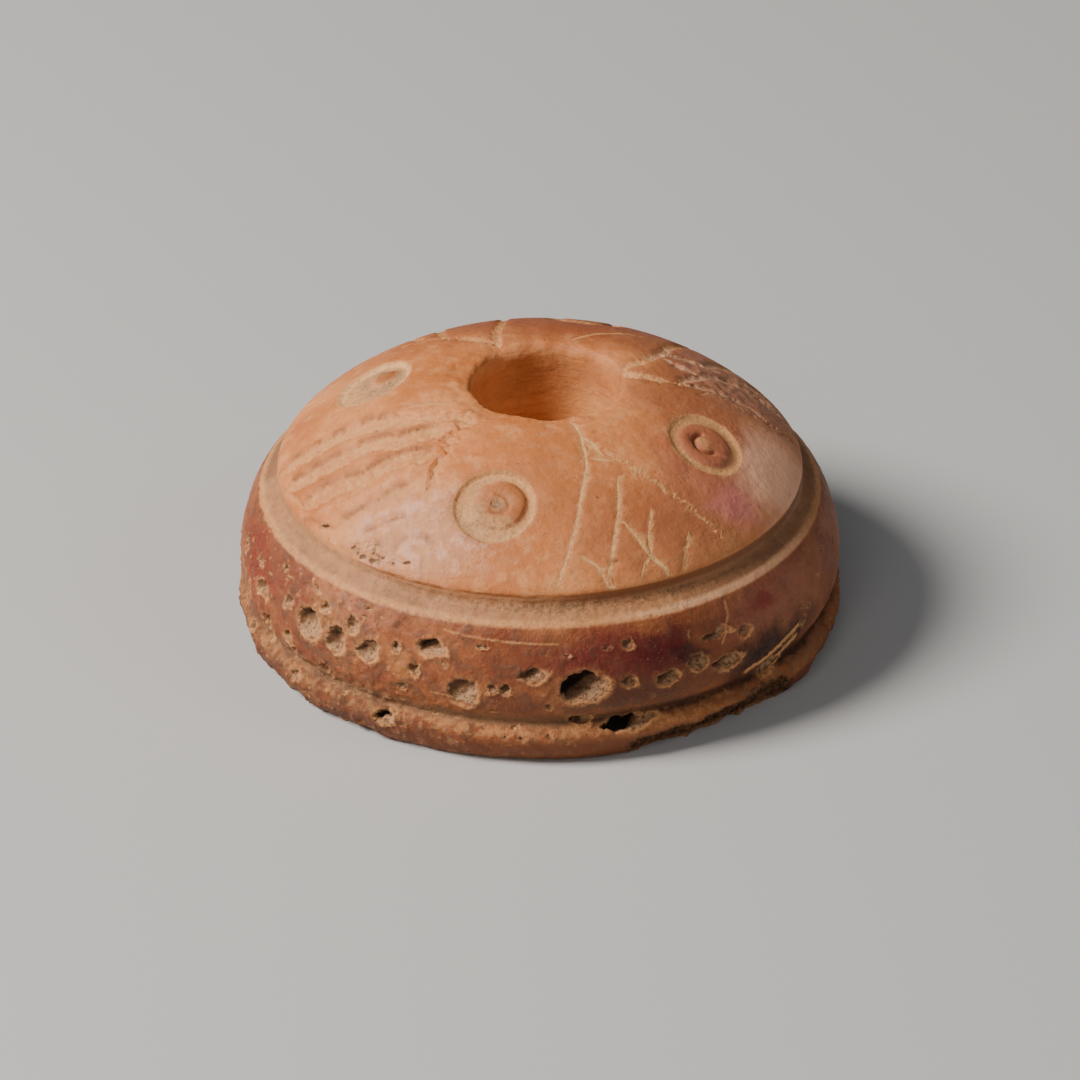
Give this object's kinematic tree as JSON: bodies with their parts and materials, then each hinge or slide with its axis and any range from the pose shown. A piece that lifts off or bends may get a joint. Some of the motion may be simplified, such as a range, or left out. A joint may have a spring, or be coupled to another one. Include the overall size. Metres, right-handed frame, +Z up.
{
  "type": "bone spindle whorl",
  "caption": "Domed round bone whorl with a central spindle hole, incised ring-and-dot marks and hatched triangles, a turned side and a flat base.",
  "frame": {"origin": "centre of the flat underside, on the lathe axis", "axes": "+Z up along the lathe axis and the spindle hole; the pictured front faces -Y, and +X is to its right"},
  "size_m": [0.038, 0.038, 0.0165],
  "materials": {
    "bone": "satin, worn and stained"
  },
  "bodies": {
    "root": {"whorl": "bone"}
  },
  "joints": []
}
